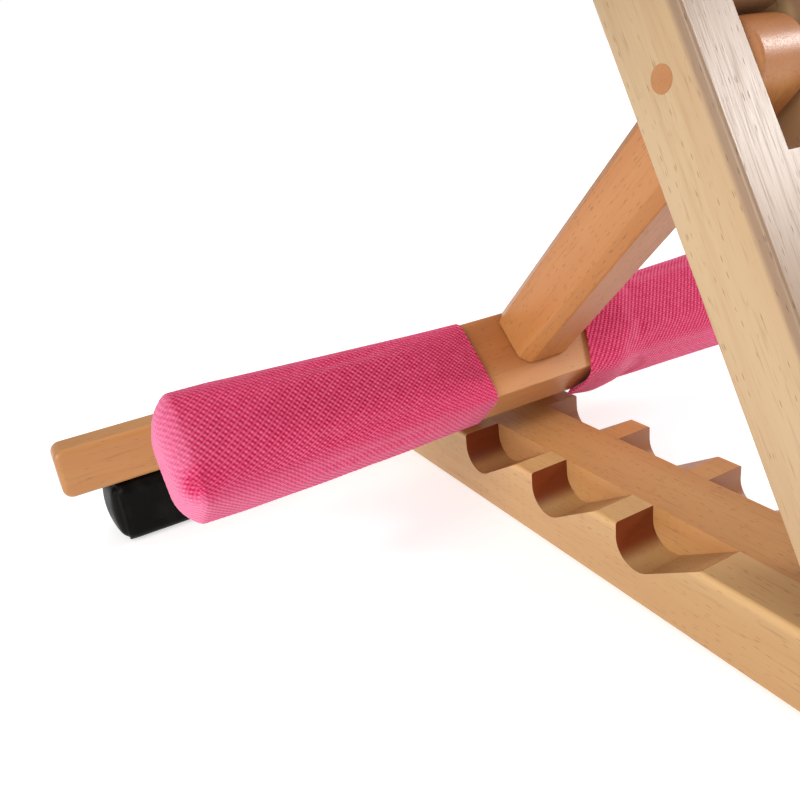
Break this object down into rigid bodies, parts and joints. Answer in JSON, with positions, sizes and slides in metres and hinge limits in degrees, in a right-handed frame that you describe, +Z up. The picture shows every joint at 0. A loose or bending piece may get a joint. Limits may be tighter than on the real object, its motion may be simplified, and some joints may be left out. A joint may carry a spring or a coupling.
{
  "type": "loom",
  "caption": "Tilting table loom: framed warp on a leaning mast, propped by a T-shaped stay with padded grips that drops into a notched base beam.",
  "frame": {"origin": "centre of the whole loom's footprint, on the surface it stands on", "axes": "+X to the weaver's right, +Y away from the weaver, +Z up"},
  "size_m": [0.4296, 0.3666, 0.5887],
  "materials": {
    "beech": "clear satin oil on steamed beech",
    "pink_weave": "coarse basket weave, matt",
    "black_leatherette": "glossy leatherette",
    "wadding": "matt foam wadding",
    "steel": "zinc plated",
    "black_rubber": "matt",
    "cotton_warp": "twisted cotton cord",
    "wool_cloth": "tapestry weave, matt"
  },
  "bodies": {
    "base": {"base_core": "beech", "rack_left": "beech", "rack_right": "beech", "rear_bar": "beech", "rear_bar_screws": "steel", "front_bar": "beech", "front_bar_screws": "steel", "front_feet": "black_rubber", "rear_foot_block_left": "beech", "rear_foot_block_right": "beech", "rear_foot_pad_left": "black_leatherette", "rear_foot_pad_right": "black_leatherette", "mast_bolt": "steel", "mast_washers": "steel", "mast_nut": "steel"},
    "mast": {"mast": "beech", "prop_pin": "steel", "pin_plugs": "beech"},
    "prop": {"prop_post": "beech", "crossbar": "beech", "prop_heel_left": "beech", "prop_heel_right": "beech", "grip_foam_left": "wadding", "grip_foam_right": "wadding", "grip_sleeve_left": "pink_weave", "grip_sleeve_right": "pink_weave"},
    "loom_frame": {"side_rail_left": "beech", "side_rail_right": "beech", "stretcher_lower": "beech", "stretcher_upper": "beech", "clamp_bolts": "steel", "pawl_screws": "steel", "warp_threads": "cotton_warp", "woven_cloth": "wool_cloth"},
    "lower_knob": {"clamp_knob_lower": "beech"},
    "upper_knob": {"clamp_knob_upper": "beech"},
    "cloth_beam": {"cloth_roller": "beech", "cloth_ratchet": "beech", "cloth_knob": "beech"},
    "warp_beam": {"warp_roller": "beech", "warp_ratchet": "beech", "warp_knob": "beech"},
    "cloth_catch": {"cloth_pawl": "beech"},
    "warp_catch": {"warp_pawl": "beech"},
    "beater": {"beater_cap": "beech", "beater_leg_left": "beech", "beater_leg_right": "beech", "beater_sill": "beech", "reed_slats": "steel"}
  },
  "joints": [
    {"name": "mast_tilt", "type": "hinge", "parent": "base", "child": "mast", "pos_m": [0, -0.1295, 0.017], "axis": [1, 0, 0], "range_deg": [0, 28]},
    {"name": "prop_swing", "type": "hinge", "parent": "mast", "child": "prop", "pos_m": [0, -0.04022, 0.18492], "axis": [-1, 0, 0], "range_deg": [0, 21]},
    {"name": "frame_height", "type": "slide", "parent": "mast", "child": "loom_frame", "axis": [0, 0.4695, 0.8829], "range_m": [0, 0.05]},
    {"name": "lower_knob_turn", "type": "hinge", "parent": "loom_frame", "child": "lower_knob", "pos_m": [0, 0.0337, 0.28132], "axis": [0, -0.8829, 0.4695], "continuous": true},
    {"name": "upper_knob_turn", "type": "hinge", "parent": "loom_frame", "child": "upper_knob", "pos_m": [0, 0.14637, 0.49323], "axis": [0, -0.8829, 0.4695], "continuous": true},
    {"name": "cloth_beam_turn", "type": "hinge", "parent": "loom_frame", "child": "cloth_beam", "pos_m": [0, -0.03502, 0.2635], "axis": [1, 0, 0], "continuous": true},
    {"name": "warp_beam_turn", "type": "hinge", "parent": "loom_frame", "child": "warp_beam", "pos_m": [0, 0.12273, 0.56017], "axis": [1, 0, 0], "continuous": true},
    {"name": "cloth_pawl_lift", "type": "hinge", "parent": "loom_frame", "child": "cloth_catch", "pos_m": [-0.204, -0.01812, 0.29528], "axis": [-1, 0, 0], "range_deg": [-28, 8]},
    {"name": "warp_pawl_lift", "type": "hinge", "parent": "loom_frame", "child": "warp_catch", "pos_m": [-0.204, 0.10582, 0.52838], "axis": [1, 0, 0], "range_deg": [-28, 8]},
    {"name": "beater_slide", "type": "slide", "parent": "loom_frame", "child": "beater", "axis": [0, 0.4695, 0.8829], "range_m": [-0.08, 0.05]}
  ],
  "couplings": [
    {"joint": "prop_swing", "follows": "mast_tilt", "ratio": 0.75}
  ]
}
